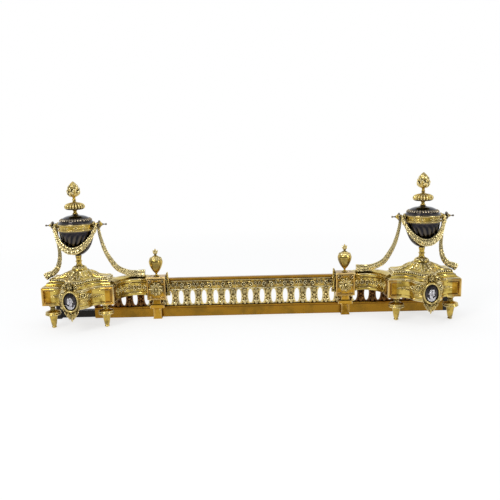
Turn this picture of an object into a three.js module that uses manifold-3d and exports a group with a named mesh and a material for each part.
// Adjustable fire fender: two urn-topped pedestal ends that slide out of a long pierced rail.
// Millimetres, +Z up, +X to the viewer's right, the front of the fender faces -Y.
// The whole fender stands on z = 0, with its bounding box centred on x = 0 and y = 0.
import * as THREE from 'three';
import { mergeVertices } from 'three/addons/utils/BufferGeometryUtils.js';
import Module from 'manifold-3d';

const wasm = await Module();
wasm.setup();

// ---- Driving dimensions -------------------------------------------------------------------

const OVERALL_WIDTH = 1150; // with the left end drawn out and the right end pushed in
const LEFT_DRAWN_OUT = 100; // how far the left end's iron bar stands out of the rail
const FIT_GAP = 0.3; // between pieces that touch

// Pedestal, seen from above: two straight corner blocks and a bowed middle
const PEDESTAL_WIDTH = 200;
const PEDESTAL_DEPTH = 89; // back face to the corner blocks' front
const PEDESTAL_BACK_Y = -6; // the rail's front face is y = 0
const BOW_HALF_WIDTH = 66;
const BOW_DEPTH = 55;
const HOLLOW_SHARE = 0.36; // share of the bow's curve taken by the hollow beside the nose
const SHELL_WALL = 6;
const CORNER_POST = 40; // solid width of the shell at each side, over the feet
const CORNICE_NECK = 19; // inset of the cornice's beaded neck from the panel
const ROOF_INSET = 21; // of the roof's lower edge from the panel

// Heights of the stack, from the floor up
const FOOT_HEIGHT = 65;
const PANEL_HEIGHT = 50;
const CORNICE_HEIGHT = 22;
const ROOF_HEIGHT = 19;
const SOCLE_HEIGHT = 43;
const BOWL_HEIGHT = 71;
const BAND_HEIGHT = 19;
const LID_HEIGHT = 25;
const KNOP_HEIGHT = 37;
const CONE_HEIGHT = 54;

// Urn
const URN_BEHIND_CORNERS = 35; // from the corner blocks' front back to the urn's axis
const BOWL_RADIUS = 46;
const BAND_RADIUS = 49;
const SOCLE_RADIUS = 24;
const NECK_RADIUS = 8;
const KNOP_RADIUS = 27.5;
const CONE_RADIUS = 17.5;
const ROD_RADIUS = 3;
const BORE_RADIUS = 3.4;
const CAST_WALL = 4;

// Side bosses and the garlands that hang from them
const BOSS_LENGTH = 36;
const BOSS_DISC_RADIUS = 11;
const SPOOL_RADIUS = 3.5;
const SPOOL_OUT = 8.5; // from the band to the middle of the spool that carries the garlands
const ROPE_THIN = 3.6;
const SWAG_THICK = 10.2;
const SWAG_DROP = 66;
const OUTER_ROPE_THICK = 11;
const INNER_ROPE_THICK = 11.5;
const INNER_ROPE_SHORT = 6; // the inner garland ends this far before the block
const ROPE_CLEAR = 0.6; // between a garland and the bowl or band behind it

// Medallion on the bow
const MEDALLION_Z = 91;
const PLAQUE_HALF_WIDTH = 16.5;
const PLAQUE_HALF_HEIGHT = 23;
const FRAME_THICKNESS = 9;
const PLAQUE_DOME = 11.5;

// Feet
const FOOT_OUT = 74; // from the pedestal's middle
const FOOT_BEHIND_CORNERS = 9;
const FOOT_DISC_RADIUS = 21.5;
const FOOT_DISC_Z = 37; // underside of the disc

// Wing, corner block and small urn
const WING_SPAN = 77;
const WING_BOTTOM = 70;
const WING_TOP = 117;
const WING_WALL = 6;
const WING_SHELF = 24; // how far its top reaches back over the rail
const WING_DEPTH = 71; // half the sweep's ellipse, front to back
const WING_BEHIND_CORNERS = 13;
const BLOCK_WIDTH = 54;
const BLOCK_BOTTOM = 57;
const BLOCK_TOP = 124;
const BLOCK_FRONT_Y = -26;
const BLOCK_WALL_BACK_Y = -4;
const BLOCK_TOP_BACK_Y = 12;
const BLOCK_FOOT_BACK_Y = -7;
const BLOCK_FOOT_DEPTH = 16;
const ROSETTE_RADIUS = 20.5;
const SMALL_URN_Y = -8;
const SMALL_URN_HEIGHT = 81;
const LEAF_BACK_Y = -9;
const LEAF_THICKNESS = 13;

// Rail
const PLINTH_DEPTH = 26;
const PLINTH_HEIGHT = 26;
const PLINTH_WALL = 2.5;
const BASE_MOULDING = 6;
const GALLERY_TOP = 80;
const FRIEZE_TOP = 107;
const RAIL_TOP = 115;
const SLOT_PITCH = 33.8;
const SLOT_WIDTH = 14;
const GALLERY_BACK_Y = 8;
const GALLERY_THICKNESS = 7;
const MOULDING_PROUD = 3;

// Iron slide bars
const BAR_CLEARANCE = 0.5;
const BAR_LENGTH = 480;
const BRACKET_THICKNESS = 14;
const BRACKET_INSET = 2; // from the pedestal's outer side

// ---- Derived places -----------------------------------------------------------------------

const PEDESTAL_X = OVERALL_WIDTH / 2 - PEDESTAL_WIDTH / 2;
const CORNER_Y = PEDESTAL_BACK_Y - PEDESTAL_DEPTH;
const NOSE_Y = CORNER_Y - BOW_DEPTH;
const URN_Y = CORNER_Y + URN_BEHIND_CORNERS;
const PANEL_TOP = FOOT_HEIGHT + PANEL_HEIGHT;
const CORNICE_TOP = PANEL_TOP + CORNICE_HEIGHT;
const ROOF_TOP = CORNICE_TOP + ROOF_HEIGHT;
const BOWL_BOTTOM = ROOF_TOP + SOCLE_HEIGHT;
const BAND_BOTTOM = BOWL_BOTTOM + BOWL_HEIGHT;
const LID_BOTTOM = BAND_BOTTOM + BAND_HEIGHT;
const KNOP_BOTTOM = LID_BOTTOM + LID_HEIGHT;
const CONE_BOTTOM = KNOP_BOTTOM + KNOP_HEIGHT;
const SPOOL_X = BAND_RADIUS + SPOOL_OUT;
const SPOOL_Z = BAND_BOTTOM + BAND_HEIGHT * 0.75;
const INNER_SIDE_X = -PEDESTAL_WIDTH / 2; // of the pedestal, about its own middle
const BLOCK_X = INNER_SIDE_X - WING_SPAN - BLOCK_WIDTH / 2;
const BRACKET_X = OVERALL_WIDTH / 2 - BRACKET_INSET - BRACKET_THICKNESS;
const RAIL_RIGHT = BRACKET_X - 1;
const RAIL_LEFT = -BRACKET_X + LEFT_DRAWN_OUT;
const RAIL_LENGTH = RAIL_RIGHT - RAIL_LEFT;
const FENDER_FRONT_Y = NOSE_Y - FIT_GAP - PLAQUE_DOME;
const FENDER_BACK_Y = PLINTH_DEPTH;

// ---- Materials ----------------------------------------------------------------------------

const metal = (color, roughness) => new THREE.MeshStandardMaterial({ color, roughness, metalness: 1 });
const giltBrass = metal(0xc79a3e, 0.32);
const darkBronze = metal(0x3b332c, 0.38);
const blackIron = metal(0x1d1b1a, 0.6);
const cameoBronze = metal(0x4a423e, 0.35);

// ---- Solid-making helpers -----------------------------------------------------------------

const v2 = (x, y) => new THREE.Vector2(x, y);
const v3 = (x, y, z) => new THREE.Vector3(x, y, z);

// Turns a geometry's faces outward if its enclosed volume comes out negative.
function facingOut(geometry) {
  const merged = geometry.clone();
  merged.deleteAttribute('normal');
  merged.deleteAttribute('uv');
  const solid = mergeVertices(merged, 1e-4);
  const place = solid.getAttribute('position');
  const index = Array.from(solid.getIndex().array);
  const corner = (i) => v3().fromBufferAttribute(place, index[i]);
  let volume = 0;
  for (let i = 0; i < index.length; i += 3) {
    volume += corner(i).dot(corner(i + 1).cross(corner(i + 2)));
  }
  if (volume < 0) {
    for (let i = 0; i < index.length; i += 3) {
      [index[i + 1], index[i + 2]] = [index[i + 2], index[i + 1]];
    }
  }
  solid.setIndex(index);
  solid.computeVertexNormals();
  return solid;
}

// A solid of revolution about +Z from [radius, height] pairs.
function turned(profile, segments = 20) {
  const lathe = new THREE.LatheGeometry(profile.map(([r, z]) => v2(r, z)), segments);
  return facingOut(lathe.rotateX(Math.PI / 2));
}

// A solid skin through rings of equal point counts. Each end is closed by a fan about its own
// middle, or, where the ring isn't seen whole from one point, by the triangles of flatOutline.
function loft(rings, { middles, flatOutline }) {
  const count = rings[0].length;
  const places = [...rings.flat(), ...(middles ?? [])].flatMap((p) => [p.x, p.y, p.z]);
  const faces = [];
  for (let k = 0; k + 1 < rings.length; k += 1) {
    for (let i = 0; i < count; i += 1) {
      const a = k * count + i;
      const b = k * count + ((i + 1) % count);
      faces.push(a, b, b + count, a, b + count, a + count);
    }
  }
  const last = (rings.length - 1) * count;
  const ends = flatOutline
    ? THREE.ShapeUtils.triangulateShape(flatOutline, []).map((face) => [face, face])
    : rings[0].map((_, i) => [
      [rings.length * count, i, (i + 1) % count],
      [rings.length * count + 1 - last, i, (i + 1) % count],
    ]);
  for (const [[a, b, c], [d, e, f]] of ends) {
    faces.push(a, c, b, last + d, last + e, last + f);
  }
  const geometry = new THREE.BufferGeometry();
  geometry.setAttribute('position', new THREE.Float32BufferAttribute(places, 3));
  geometry.setIndex(faces);
  return facingOut(geometry);
}

// Extrusions of a flat outline: upward, forward (toward -Y) and along +X.
const extrusion = (shape, depth) =>
  new THREE.ExtrudeGeometry(shape, { depth, bevelEnabled: false, curveSegments: 8 });
const extrudeUp = (shape, z0, z1) => facingOut(extrusion(shape, z1 - z0).translate(0, 0, z0));
const extrudeForward = (shape, yBack, depth) =>
  facingOut(extrusion(shape, depth).rotateX(Math.PI / 2).translate(0, yBack, 0));
function extrudeAlongX(shape, x0, x1) {
  const basis = new THREE.Matrix4().makeBasis(v3(0, 1, 0), v3(0, 0, 1), v3(1, 0, 0));
  return facingOut(extrusion(shape, x1 - x0).applyMatrix4(basis).translate(x0, 0, 0));
}

const outlineShape = (points) => new THREE.Shape(points.map(([x, y]) => v2(x, y)));
const box = (x0, x1, y0, y1, z0, z1) =>
  new THREE.BoxGeometry(x1 - x0, y1 - y0, z1 - z0)
    .translate((x0 + x1) / 2, (y0 + y1) / 2, (z0 + z1) / 2);

function toManifold(geometry) {
  const solid = facingOut(geometry);
  return new wasm.Manifold(new wasm.Mesh({
    numProp: 3,
    vertProperties: new Float32Array(solid.getAttribute('position').array),
    triVerts: new Uint32Array(solid.getIndex().array),
  }));
}

function fromManifold(manifold) {
  const mesh = manifold.getMesh();
  const geometry = new THREE.BufferGeometry();
  geometry.setAttribute('position', new THREE.Float32BufferAttribute(mesh.vertProperties, 3));
  geometry.setIndex(Array.from(mesh.triVerts));
  geometry.computeVertexNormals();
  return geometry;
}

const cut = (geometry, ...cutters) =>
  fromManifold(cutters.reduce((rest, cutter) => rest.subtract(toManifold(cutter)), toManifold(geometry)));
const joined = (geometry, ...others) =>
  fromManifold(others.reduce((whole, other) => whole.add(toManifold(other)), toManifold(geometry)));

// The mirror image of a right-end piece, for the left end.
function mirrored(geometry) {
  return facingOut(geometry.clone().scale(-1, 1, 1));
}

// A round rope along a smooth route, its radius a function of the share of the way along.
function rope(route, radiusAt, steps, sides = 8) {
  const curve = new THREE.CatmullRomCurve3(route);
  const frames = curve.computeFrenetFrames(steps, false);
  const circle = [...Array(sides).keys()].map((i) => {
    const turn = (2 * Math.PI * i) / sides;
    return v2(Math.cos(turn), Math.sin(turn));
  });
  const rings = [...Array(steps + 1).keys()].map((k) => {
    const middle = curve.getPointAt(k / steps);
    const radius = radiusAt(k / steps);
    return circle.map((c) => middle.clone()
      .addScaledVector(frames.normals[k], c.x * radius)
      .addScaledVector(frames.binormals[k], c.y * radius));
  });
  return loft(rings, { middles: [route[0], route.at(-1)] });
}

// ---- Pedestal -----------------------------------------------------------------------------

// The bow from the right-hand corner block to the middle, as [across, forward] pairs: a hollow
// arc and a nose arc that meet on a common tangent.
function halfBow(steps) {
  const sweep = 2 * Math.atan2(BOW_DEPTH, BOW_HALF_WIDTH);
  const radii = BOW_HALF_WIDTH / Math.sin(sweep);
  const hollow = radii * HOLLOW_SHARE;
  const nose = radii - hollow;
  const points = [];
  for (let i = 0; i <= steps; i += 1) {
    const turn = (sweep * i) / steps;
    points.push([BOW_HALF_WIDTH - hollow * Math.sin(turn), hollow * (1 - Math.cos(turn))]);
  }
  for (let i = steps - 1; i >= 0; i -= 1) {
    const turn = (sweep * i) / steps;
    points.push([nose * Math.sin(turn), BOW_DEPTH - nose * (1 - Math.cos(turn))]);
  }
  return points;
}

const between = (a, b, parts) => [...Array(parts).keys()].map((i) => {
  const share = i / parts;
  return v2(a[0] + (b[0] - a[0]) * share, a[1] + (b[1] - a[1]) * share);
});

// The pedestal's outline from above, counter-clockwise from its front left corner, with its
// straight back and sides left whole or divided.
function pedestalOutline(backParts = 1, sideParts = 1) {
  const half = PEDESTAL_WIDTH / 2;
  const bow = halfBow(5).map(([across, forward]) => v2(across, CORNER_Y - forward));
  const leftBow = bow.map((p) => v2(-p.x, p.y));
  return [
    v2(-half, CORNER_Y),
    ...leftBow,
    ...bow.slice(0, -1).reverse(),
    ...between([half, CORNER_Y], [half, PEDESTAL_BACK_Y], sideParts),
    ...between([half, PEDESTAL_BACK_Y], [-half, PEDESTAL_BACK_Y], backParts),
    ...between([-half, PEDESTAL_BACK_Y], [-half, CORNER_Y], sideParts),
  ];
}

// Moves every side of a counter-clockwise outline inward by a distance.
function inset(outline, distance) {
  const inward = (a, b) => v2(a.y - b.y, b.x - a.x).normalize();
  return outline.map((p, i) => {
    const before = inward(outline.at(i - 1), p);
    const after = inward(p, outline[(i + 1) % outline.length]);
    const mitre = before.clone().add(after).divideScalar(1 + before.dot(after));
    return p.clone().addScaledVector(mitre, distance);
  });
}

const raised = (outline, z) => outline.map((p) => v3(p.x, p.y, z));

// A stack of outlines, [outline, z] from the bottom up, all seen whole from the urn's axis.
const stacked = (levels) => loft(levels.map(([outline, z]) => raised(outline, z)), {
  middles: [v3(0, URN_Y, levels[0][1]), v3(0, URN_Y, levels.at(-1)[1])],
});

// The panelled body: solid posts over the feet and an open hollow between them.
function pedestalShell() {
  const shape = new THREE.Shape(pedestalOutline());
  const reach = PEDESTAL_WIDTH / 2 - CORNER_POST;
  const hollow = [];
  for (const p of inset(pedestalOutline(), SHELL_WALL)) {
    const point = v2(Math.max(-reach, Math.min(reach, p.x)), p.y);
    if (!hollow.length || hollow.at(-1).distanceTo(point) > 0.5) hollow.push(point);
  }
  if (hollow[0].distanceTo(hollow.at(-1)) < 0.5) hollow.pop();
  shape.holes.push(new THREE.Path(hollow));
  return extrudeUp(shape, FOOT_HEIGHT, PANEL_TOP);
}

const rodBore = (z0, z1) => new THREE.CylinderGeometry(BORE_RADIUS, BORE_RADIUS, z1 - z0, 12)
  .rotateX(Math.PI / 2).translate(0, URN_Y, (z0 + z1) / 2);

// A base plate on the shell and stepped mouldings over it: [inset from the panel, height above].
function pedestalCornice() {
  const steps = [
    [3, FIT_GAP], [3, 3], [CORNICE_NECK - 7.5, 4], [CORNICE_NECK - 9.5, 5.5], [CORNICE_NECK - 9.5, 8.5],
    [CORNICE_NECK - 7, 11], [CORNICE_NECK - 3.5, 13], [CORNICE_NECK, 15.5],
    [CORNICE_NECK, CORNICE_HEIGHT - 2], [CORNICE_NECK + 1.5, CORNICE_HEIGHT],
  ];
  const outline = pedestalOutline();
  const body = stacked(steps.map(([d, up]) => [inset(outline, d), PANEL_TOP + up]));
  const inner = inset(outline, CORNICE_NECK + 3 + CAST_WALL);
  const hollow = stacked([[inner, PANEL_TOP - 1], [inner, CORNICE_TOP - CAST_WALL]]);
  return cut(body, hollow, rodBore(CORNICE_TOP - 2 * CAST_WALL, CORNICE_TOP + 1));
}

// The swept roof, from the cornice's outline up to the round seat of the urn.
function roofCap() {
  const base = inset(pedestalOutline(6, 3), ROOF_INSET);
  const seat = base.map((p) => v2(p.x, p.y - URN_Y).setLength(SOCLE_RADIUS + 1).add(v2(0, URN_Y)));
  const sweep = 2.3;
  const levels = [0, 0.25, 0.48, 0.68, 0.85, 1].map((share) => {
    const outline = base.map((p, i) => p.clone().lerp(seat[i], share));
    return [outline, CORNICE_TOP + FIT_GAP + (ROOF_HEIGHT - FIT_GAP) * share ** sweep];
  });
  return cut(stacked(levels), rodBore(CORNICE_TOP - 1, ROOF_TOP + 1));
}

// ---- Urn ----------------------------------------------------------------------------------

const onUrnAxis = (geometry) => geometry.translate(0, URN_Y, 0);

function urnSocle() {
  const z = ROOF_TOP + FIT_GAP;
  const top = BOWL_BOTTOM - FIT_GAP;
  return onUrnAxis(turned([
    [BORE_RADIUS, z], [SOCLE_RADIUS, z], [SOCLE_RADIUS, z + 2], [SOCLE_RADIUS - 3, z + 4],
    [SOCLE_RADIUS - 5, z + 8], [NECK_RADIUS, z + 16], [NECK_RADIUS - 1, z + 25],
    [NECK_RADIUS + 2, z + 28], [NECK_RADIUS + 2, z + 31], [NECK_RADIUS - 1, z + 34],
    [NECK_RADIUS + 2, top], [BORE_RADIUS, top], [BORE_RADIUS, z],
  ], 16));
}

// Radius of the bowl's outside at a height above its bottom: half an ellipse.
const bowlRadius = (up) =>
  BOWL_RADIUS * Math.sqrt(Math.max(0, 1 - ((BOWL_HEIGHT - up) / BOWL_HEIGHT) ** 2));

function urnBowl() {
  const outside = [2, 7, 15, 25, 40, BOWL_HEIGHT - FIT_GAP]
    .map((up) => [bowlRadius(up), BOWL_BOTTOM + up]);
  const inside = [BOWL_HEIGHT - FIT_GAP, 40, 25, 12]
    .map((up) => [bowlRadius(up) - CAST_WALL, BOWL_BOTTOM + up]);
  return onUrnAxis(turned([
    [BORE_RADIUS, BOWL_BOTTOM], ...outside, ...inside,
    [BORE_RADIUS, BOWL_BOTTOM + 12], [BORE_RADIUS, BOWL_BOTTOM],
  ]));
}

function urnBand() {
  const z = BAND_BOTTOM;
  const top = LID_BOTTOM - FIT_GAP;
  const inner = BOWL_RADIUS - CAST_WALL;
  return onUrnAxis(turned([
    [inner, z], [BAND_RADIUS - 1.5, z], [BAND_RADIUS - 1, z + 3], [BAND_RADIUS - 2.5, z + 4],
    [BAND_RADIUS - 1, top - 3], [BAND_RADIUS, top - 2.5], [BAND_RADIUS, top], [inner, top], [inner, z],
  ]));
}

function urnLid() {
  const z = LID_BOTTOM;
  const top = KNOP_BOTTOM - FIT_GAP;
  return onUrnAxis(turned([
    [BORE_RADIUS, z + 8], [BOWL_RADIUS - 2 * CAST_WALL, z], [BOWL_RADIUS + 1, z], [BOWL_RADIUS + 1, z + 3],
    [BOWL_RADIUS - 3, z + 8], [BOWL_RADIUS - 9, z + 13], [BOWL_RADIUS - 18, z + 18],
    [BOWL_RADIUS - 29, z + 21.5], [10, z + 23], [7, top], [BORE_RADIUS, top], [BORE_RADIUS, z + 8],
  ]));
}

function lidKnop() {
  const z = KNOP_BOTTOM;
  const top = CONE_BOTTOM - FIT_GAP;
  return onUrnAxis(turned([
    [BORE_RADIUS, z], [7, z], [5.5, z + 4], [6.5, z + 10], [KNOP_RADIUS - 9, z + 11.5],
    [KNOP_RADIUS - 2, z + 14.5], [KNOP_RADIUS, z + 18.5], [KNOP_RADIUS - 0.5, z + 23],
    [KNOP_RADIUS - 4, z + 27.5], [KNOP_RADIUS - 12, z + 31], [6, z + 33.5], [5.5, top],
    [BORE_RADIUS, top], [BORE_RADIUS, z],
  ], 16));
}

function pineCone() {
  const z = CONE_BOTTOM;
  const blindEnd = z + 14;
  return onUrnAxis(turned([
    [0, blindEnd], [BORE_RADIUS, blindEnd], [BORE_RADIUS, z], [5, z], [6, z + 5],
    [CONE_RADIUS - 5, z + 8], [CONE_RADIUS - 0.5, z + 15], [CONE_RADIUS, z + 24],
    [CONE_RADIUS - 2, z + 33], [CONE_RADIUS - 7, z + 43], [4, z + CONE_HEIGHT - 3],
    [0, z + CONE_HEIGHT],
  ], 12));
}

// The rod that draws the whole urn down on to the pedestal, with a nut under the cornice.
function tieRod() {
  const under = CORNICE_TOP - CAST_WALL - FIT_GAP;
  const end = CONE_BOTTOM + 13;
  return onUrnAxis(turned([
    [0, under - 8], [6, under - 8], [6, under], [ROD_RADIUS, under], [ROD_RADIUS, end], [0, end],
  ], 8));
}

// A boss on the band: stud, spool, dark disc and spike, pointing along +X.
function sideBoss() {
  const start = BAND_RADIUS + FIT_GAP;
  const disc = SPOOL_X + ROPE_THIN + 1.8;
  const profile = [
    [0, start], [8, start], [8, start + 2.5], [SPOOL_RADIUS, start + 4], [SPOOL_RADIUS, disc],
    [BOSS_DISC_RADIUS, disc + 0.5], [BOSS_DISC_RADIUS, disc + 3], [5, disc + 6], [2.5, disc + 10],
    [2.2, disc + 14], [0, start + BOSS_LENGTH],
  ];
  return turned(profile, 8).rotateY(Math.PI / 2).translate(0, URN_Y, SPOOL_Z);
}

// ---- Garlands -----------------------------------------------------------------------------

// Distance from the urn's axis at which a rope of a radius just clears bowl and band, leaving
// any ledge at 45 degrees.
function clearOfUrn(z, radius) {
  const gap = radius + ROPE_CLEAR;
  const across = gap * Math.SQRT1_2;
  let distance = 0;
  for (let up = 0; up <= BOWL_HEIGHT + BAND_HEIGHT; up += 1) {
    const reach = up < BOWL_HEIGHT ? bowlRadius(up) : BAND_RADIUS;
    const rise = Math.abs(z - (BOWL_BOTTOM + up));
    const out = rise < across ? Math.sqrt(gap ** 2 - rise ** 2) : 2 * across - rise;
    distance = Math.max(distance, reach + out);
  }
  return distance;
}

// From a spool's axis to the middle of a rope that hangs before or behind it.
const hangOff = ROPE_THIN + SPOOL_RADIUS;

// The swag across the front of the bowl, thin at the spools and thick at the bottom.
function swag() {
  const endTurn = Math.atan2(SPOOL_X, hangOff);
  const turnAt = (share) => endTurn * (2 * share - 1);
  const depthAt = (turn) => {
    const share = (Math.cos(turn) - Math.cos(endTurn)) / (1 - Math.cos(endTurn));
    return Math.max(0, share) ** 0.8;
  };
  const radiusAt = (share) => ROPE_THIN + (SWAG_THICK - ROPE_THIN) * Math.cos(turnAt(share)) ** 1.5;
  const stations = 20;
  const route = [...Array(stations + 1).keys()].map((k) => {
    const turn = turnAt(k / stations);
    const z = SPOOL_Z - SWAG_DROP * depthAt(turn);
    const outToSpool = (SPOOL_OUT - ROPE_THIN) * Math.abs(Math.sin(turn)) ** 10;
    const distance = clearOfUrn(z, radiusAt(k / stations)) + outToSpool;
    return v3(distance * Math.sin(turn), URN_Y - distance * Math.cos(turn), z);
  });
  return rope(route, radiusAt, 18);
}

// Radius along a garland that is thin at the spool and grows to its end, more late than early.
const swelling = (thick, lateness) => (share) => ROPE_THIN + (thick - ROPE_THIN) * share ** lateness;

// The garland that falls outward and leans over the cornice's corner.
function outerDrop() {
  const z = CORNICE_TOP + OUTER_ROPE_THICK / 2 - ROPE_CLEAR;
  const end = PEDESTAL_WIDTH / 2 - 7;
  const y = URN_Y + hangOff + ROPE_CLEAR;
  return rope([
    v3(SPOOL_X, y, SPOOL_Z + 5), v3(SPOOL_X, y, SPOOL_Z - 35), v3(SPOOL_X - 3, y, SPOOL_Z - 82),
    v3(SPOOL_X + 1, y - 5, z + 30), v3(SPOOL_X + 12, y - 10, z + 12.5),
    v3(end - 11, y - 14, z + 6), v3(end, y - 15, z),
  ], swelling(OUTER_ROPE_THICK, 2.2), 16);
}

// The garland that falls inward and lies along the top of the wing, to its end by the block.
function innerDrop() {
  const lie = WING_TOP + 4.5 + INNER_ROPE_THICK;
  const end = BLOCK_X + BLOCK_WIDTH / 2 + INNER_ROPE_SHORT;
  const y = URN_Y + hangOff + ROPE_CLEAR;
  const side = INNER_SIDE_X;
  return rope([
    v3(-SPOOL_X, y, SPOOL_Z + 5), v3(-SPOOL_X - 4, y, SPOOL_Z - 32), v3(-SPOOL_X - 14, y + 2, SPOOL_Z - 72),
    v3(side + 15.5, y + 8, lie + 49), v3(side + 0.5, y + 17, lie + 24), v3(side - 21.5, y + 30, lie + 8),
    v3(end + 32, y + 43, lie + 1), v3(end, y + 46, lie),
  ], swelling(INNER_ROPE_THICK, 1.2), 18);
}

// ---- Medallion and foliage on the bow -------------------------------------------------------

const ellipse = (halfWidth, halfHeight, count) => [...Array(count).keys()].map((i) => {
  const turn = (2 * Math.PI * i) / count;
  return v2(halfWidth * Math.cos(turn), halfHeight * Math.sin(turn));
});

// An oval frame with a leaf spray above and a pointed pendant below, as one casting.
function medallionFrame() {
  const half = [
    [0, -58], [4, -55], [8, -47], [15, -39], [20, -30], [23, -16], [23.5, 0], [22, 14],
    [17, 24], [12, 29], [19, 33], [26, 36], [25, 43], [17, 44], [15, 50], [7, 50], [4, 56], [0, 57],
  ];
  const left = half.slice(1, -1).reverse().map(([x, z]) => [-x, z]);
  const shape = outlineShape([...half, ...left]);
  shape.holes.push(new THREE.Path(
    ellipse(PLAQUE_HALF_WIDTH + FIT_GAP, PLAQUE_HALF_HEIGHT + FIT_GAP, 20),
  ));
  return extrudeForward(shape, NOSE_Y - FIT_GAP, FRAME_THICKNESS).translate(0, 0, MEDALLION_Z);
}

// The domed plaque inside the frame, which carries the cameo head.
function medallionPlaque() {
  const levels = [[1, 0], [1, 5], [0.86, 8], [0.5, PLAQUE_DOME]];
  const outline = ellipse(PLAQUE_HALF_WIDTH, PLAQUE_HALF_HEIGHT, 20);
  const back = NOSE_Y - FIT_GAP;
  const rings = levels.map(([scale, forward]) =>
    outline.map((p) => v3(p.x * scale, back - forward, MEDALLION_Z + p.y * scale)));
  return loft(rings, {
    middles: [v3(0, back, MEDALLION_Z), v3(0, back - PLAQUE_DOME, MEDALLION_Z)],
  });
}

// A leaf spray on one side of the bow, tall beside the medallion and pointed at its far end.
function foliageSpray(side) {
  const bow = halfBow(5).filter(([across]) => across > 20);
  const start = bow.at(-1)[0];
  const rings = bow.map(([across, forward], i) => {
    const ahead = bow[Math.max(i - 1, 0)];
    const behind = bow[Math.min(i + 1, bow.length - 1)];
    const along = v2(behind[0] - ahead[0], behind[1] - ahead[1]).normalize();
    const out = v2(along.y, -along.x).multiplyScalar(along.x < 0 ? 1 : -1);
    const share = (BOW_HALF_WIDTH - across) / (BOW_HALF_WIDTH - start);
    const halfHeight = 4 + 16 * share;
    const middle = MEDALLION_Z + 3;
    const corner = (lift, rise) => v3(
      side * (across + out.x * lift), CORNER_Y - forward - out.y * lift, middle + rise,
    );
    const thick = 3 + 3 * share;
    return [
      corner(0.5, -halfHeight), corner(thick, -halfHeight * 0.6),
      corner(thick, halfHeight * 0.6), corner(0.5, halfHeight),
    ];
  });
  return loft(rings, { flatOutline: [v2(0, -3), v2(1, -2), v2(1, 2), v2(0, 3)] });
}

// ---- Feet ---------------------------------------------------------------------------------

function foot(side) {
  const top = FOOT_HEIGHT - FIT_GAP;
  const disc = FOOT_DISC_Z;
  return turned([
    [0, 0], [6.5, 0], [7.5, 2], [7, 5], [12, disc - 3], [14, disc - 0.5],
    [FOOT_DISC_RADIUS - 2, disc + 0.5], [FOOT_DISC_RADIUS, disc + 3], [FOOT_DISC_RADIUS, disc + 7],
    [FOOT_DISC_RADIUS - 2, disc + 10.5], [14, disc + 13], [7, disc + 15], [6, disc + 19],
    [10, top], [0, top],
  ], 12).translate(side * FOOT_OUT, CORNER_Y + FOOT_BEHIND_CORNERS, 0);
}

// ---- Wing, corner block and small urn -------------------------------------------------------

// The concave wing between pedestal and block: a moulded band swept along part of an ellipse,
// with a top slab that slopes up and back over the rail.
function wing() {
  const across = WING_SPAN * 0.68;
  const middleX = INNER_SIDE_X - across + 0.5;
  const middleY = CORNER_Y + WING_BEHIND_CORNERS;
  const steps = 14;
  const from = THREE.MathUtils.degToRad(-40);
  const to = THREE.MathUtils.degToRad(92);
  const section = (rise) => [
    [2.5, WING_BOTTOM], [2.5, WING_BOTTOM + 7], [0.8, WING_BOTTOM + 8.5],
    [0.8, WING_TOP - 10], [3, WING_TOP - 7], [3, WING_TOP], [-WING_SHELF, WING_TOP + rise],
    [-WING_SHELF, WING_TOP + rise - 4], [-WING_WALL, WING_TOP - 1], [-WING_WALL, WING_BOTTOM],
  ];
  const rings = [...Array(steps + 1).keys()].map((k) => {
    const turn = from + ((to - from) * k) / steps;
    const point = v2(middleX + across * Math.sin(turn), middleY + WING_DEPTH * Math.cos(turn));
    const inward = v2(-WING_DEPTH * Math.sin(turn), -across * Math.cos(turn)).normalize();
    return section(7 + (8 * k) / steps)
      .map(([n, z]) => v3(point.x + inward.x * n, point.y + inward.y * n, z));
  });
  const swept = loft(rings, { flatOutline: section(7).map(([n, z]) => v2(n, z)) });
  const far = 200;
  const blockSide = BLOCK_X + BLOCK_WIDTH / 2 + FIT_GAP;
  const pedestalSide = INNER_SIDE_X - FIT_GAP;
  return cut(
    swept,
    box(blockSide - far, blockSide, -far, far, 0, far),
    box(pedestalSide, pedestalSide + far, -far, far, 0, far),
  );
}

// The block: a front wall before the rail and a top that reaches over it.
function cornerBlock() {
  const section = outlineShape([
    [BLOCK_FRONT_Y, BLOCK_BOTTOM], [BLOCK_WALL_BACK_Y, BLOCK_BOTTOM],
    [BLOCK_WALL_BACK_Y, RAIL_TOP + 1], [BLOCK_TOP_BACK_Y, RAIL_TOP + 1],
    [BLOCK_TOP_BACK_Y, BLOCK_TOP], [BLOCK_FRONT_Y, BLOCK_TOP],
  ]);
  return extrudeAlongX(section, BLOCK_X - BLOCK_WIDTH / 2, BLOCK_X + BLOCK_WIDTH / 2);
}

function rosette() {
  const lift = 6;
  const disc = turned([
    [0, 0], [ROSETTE_RADIUS, 0], [ROSETTE_RADIUS, 2], [ROSETTE_RADIUS - 4, lift - 1],
    [6, lift - 1.5], [4, lift], [0, lift],
  ], 12);
  const middle = (BLOCK_BOTTOM + BLOCK_TOP) / 2 - 1;
  return disc.rotateX(Math.PI / 2).translate(BLOCK_X, BLOCK_FRONT_Y - FIT_GAP, middle);
}

function smallUrn() {
  const z = BLOCK_TOP + FIT_GAP;
  const top = BLOCK_TOP + SMALL_URN_HEIGHT;
  return turned([
    [0, z], [7, z], [3, z + 4], [3.5, z + 8], [9, z + 15], [15, z + 25], [19, z + 36],
    [20, z + 42], [18, z + 49], [10, z + 57], [4, z + 60], [3, z + 63], [7, z + 68], [6, z + 73],
    [2, top - 2], [0, top],
  ], 12).translate(BLOCK_X, SMALL_URN_Y, 0);
}

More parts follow.
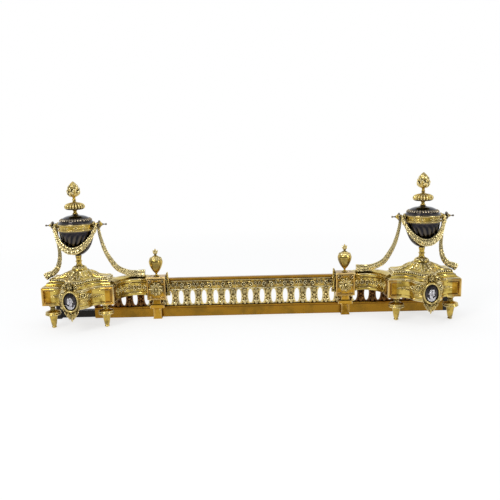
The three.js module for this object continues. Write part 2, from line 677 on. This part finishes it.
// The block's foot: a short neck, a flared cap and a pilaster that stands before the plinth.
function blockFoot() {
  const top = BLOCK_BOTTOM - FIT_GAP;
  const half = [
    [11, top], [10.5, 50], [12, 45], [16, 41], [20.4, 38], [20.8, 33], [19, 32], [12, 31],
    [11, 4], [12.5, 3], [12.5, 0],
  ];
  const left = half.slice().reverse().map(([x, z]) => [-x, z]);
  return extrudeForward(outlineShape([...half, ...left]), BLOCK_FOOT_BACK_Y, BLOCK_FOOT_DEPTH)
    .translate(BLOCK_X, 0, 0);
}

// A long acanthus leaf on the block's inner side, its tip standing above the rail.
function leafBracket() {
  const root = BLOCK_X - BLOCK_WIDTH / 2 - FIT_GAP;
  const outline = [
    [0, 70], [0, 122], [-1.5, 131], [-2.5, 138], [-4.5, 130], [-7, 118], [-6, 104],
    [-8, 92], [-12, 80], [-11, 71], [-6, 67],
  ];
  return extrudeForward(outlineShape(outline), LEAF_BACK_Y, LEAF_THICKNESS).translate(root, 0, 0);
}

// ---- Slide bars ---------------------------------------------------------------------------

// The iron bar that runs in the hollow plinth, with the bracket that carries the pedestal.
// Built about the fender's middle, for the right end.
function slideBar() {
  const inside = PLINTH_WALL + BAR_CLEARANCE;
  const bar = box(
    BRACKET_X - BAR_LENGTH, BRACKET_X + 1,
    inside, PLINTH_DEPTH - inside, inside, PLINTH_HEIGHT - inside,
  );
  const arm = FOOT_HEIGHT - FIT_GAP;
  const side = outlineShape([
    [PLINTH_DEPTH - 2, 0], [PLINTH_DEPTH - 2, arm], [CORNER_Y + 45, arm], [CORNER_Y + 45, arm - 8],
    [0, arm - 14], [0, 0],
  ]);
  return joined(bar, extrudeAlongX(side, BRACKET_X, BRACKET_X + BRACKET_THICKNESS));
}

// ---- Rail ---------------------------------------------------------------------------------

// The hollow brass plinth with its moulded upper edge.
function plinthTube() {
  const top = PLINTH_HEIGHT + BASE_MOULDING;
  const section = outlineShape([
    [0, 0], [PLINTH_DEPTH, 0], [PLINTH_DEPTH, PLINTH_HEIGHT], [14, PLINTH_HEIGHT], [13, top],
    [-1, top], [-MOULDING_PROUD, top - 2], [-MOULDING_PROUD, top - 4], [0, PLINTH_HEIGHT - 1],
  ]);
  const low = PLINTH_WALL;
  const wide = PLINTH_DEPTH - PLINTH_WALL;
  const high = PLINTH_HEIGHT - PLINTH_WALL;
  section.holes.push(new THREE.Path([v2(low, low), v2(wide, low), v2(wide, high), v2(low, high)]));
  return extrudeAlongX(section, RAIL_LEFT, RAIL_RIGHT);
}

// The pierced gallery: a plate with one arched slot per pitch.
function gallery() {
  const bottom = PLINTH_HEIGHT + BASE_MOULDING + FIT_GAP;
  const top = GALLERY_TOP - FIT_GAP;
  const shape = outlineShape([
    [RAIL_LEFT, bottom], [RAIL_RIGHT, bottom], [RAIL_RIGHT, top], [RAIL_LEFT, top],
  ]);
  const count = Math.floor(RAIL_LENGTH / SLOT_PITCH);
  const half = SLOT_WIDTH / 2;
  const low = bottom + 3;
  const high = top - 3 - half;
  for (let i = 0; i < count; i += 1) {
    const middle = (RAIL_LEFT + RAIL_RIGHT) / 2 + (i - (count - 1) / 2) * SLOT_PITCH;
    const slot = [[-half * 0.8, low], [-half, low + 8], [-half, high]];
    for (const turn of [145, 110, 70, 35]) {
      const angle = THREE.MathUtils.degToRad(turn);
      slot.push([half * Math.cos(angle), high + half * Math.sin(angle)]);
    }
    slot.push([half, high], [half, low + 8], [half * 0.8, low]);
    shape.holes.push(new THREE.Path(slot.map(([x, z]) => v2(middle + x, z))));
  }
  return extrudeForward(shape, GALLERY_BACK_Y, GALLERY_THICKNESS);
}

function frieze() {
  return box(RAIL_LEFT, RAIL_RIGHT, -1, 9, GALLERY_TOP, FRIEZE_TOP - FIT_GAP);
}

function topMoulding() {
  const section = outlineShape([
    [0, FRIEZE_TOP], [11, FRIEZE_TOP], [12, FRIEZE_TOP + 2], [12, RAIL_TOP - 1], [10, RAIL_TOP],
    [-1, RAIL_TOP], [-MOULDING_PROUD, RAIL_TOP - 2], [-MOULDING_PROUD, RAIL_TOP - 5],
    [-1, FRIEZE_TOP + 1],
  ]);
  return extrudeAlongX(section, RAIL_LEFT, RAIL_RIGHT);
}

// ---- Assembly -----------------------------------------------------------------------------

function addPiece(parent, name, geometry, material) {
  const mesh = new THREE.Mesh(geometry, material);
  mesh.name = name;
  parent.add(mesh);
}

// Every piece of an end about the pedestal's own middle, outward to the right.
const endPieces = [
  ['pedestal_shell', pedestalShell(), giltBrass],
  ['pedestal_cornice', pedestalCornice(), giltBrass],
  ['roof_cap', roofCap(), giltBrass],
  ['urn_socle', urnSocle(), giltBrass],
  ['urn_bowl', urnBowl(), darkBronze],
  ['urn_band', urnBand(), giltBrass],
  ['urn_lid', urnLid(), darkBronze],
  ['lid_knop', lidKnop(), giltBrass],
  ['pine_cone', pineCone(), giltBrass],
  ['tie_rod', tieRod(), blackIron],
  ['outer_boss', sideBoss(), darkBronze],
  ['inner_boss', mirrored(sideBoss()), darkBronze],
  ['swag', swag(), giltBrass],
  ['outer_drop', outerDrop(), giltBrass],
  ['inner_drop', innerDrop(), giltBrass],
  ['medallion_frame', medallionFrame(), giltBrass],
  ['medallion_plaque', medallionPlaque(), cameoBronze],
  ['outer_spray', foliageSpray(1), giltBrass],
  ['inner_spray', foliageSpray(-1), giltBrass],
  ['outer_foot', foot(1), giltBrass],
  ['inner_foot', foot(-1), giltBrass],
  ['wing', wing(), giltBrass],
  ['corner_block', cornerBlock(), giltBrass],
  ['rosette', rosette(), giltBrass],
  ['small_urn', smallUrn(), giltBrass],
  ['block_foot', blockFoot(), giltBrass],
  ['leaf_bracket', leafBracket(), giltBrass],
];

function buildEnd(sideName, side) {
  const end = new THREE.Group();
  const pedestal = new THREE.Group();
  pedestal.position.x = side * PEDESTAL_X;
  end.add(pedestal);
  for (const [name, geometry, material] of endPieces) {
    addPiece(pedestal, `${sideName}_${name}`, side > 0 ? geometry : mirrored(geometry), material);
  }
  const bar = slideBar();
  addPiece(end, `${sideName}_slide_bar`, side > 0 ? bar : mirrored(bar), blackIron);
  return end;
}

function buildRail() {
  const rail = new THREE.Group();
  addPiece(rail, 'plinth_tube', plinthTube(), giltBrass);
  addPiece(rail, 'gallery', gallery(), giltBrass);
  addPiece(rail, 'frieze', frieze(), giltBrass);
  addPiece(rail, 'top_moulding', topMoulding(), giltBrass);
  return rail;
}

const group = new THREE.Group();
group.position.y = -(FENDER_FRONT_Y + FENDER_BACK_Y) / 2;
group.add(buildRail(), buildEnd('left', -1), buildEnd('right', 1));

export default group;
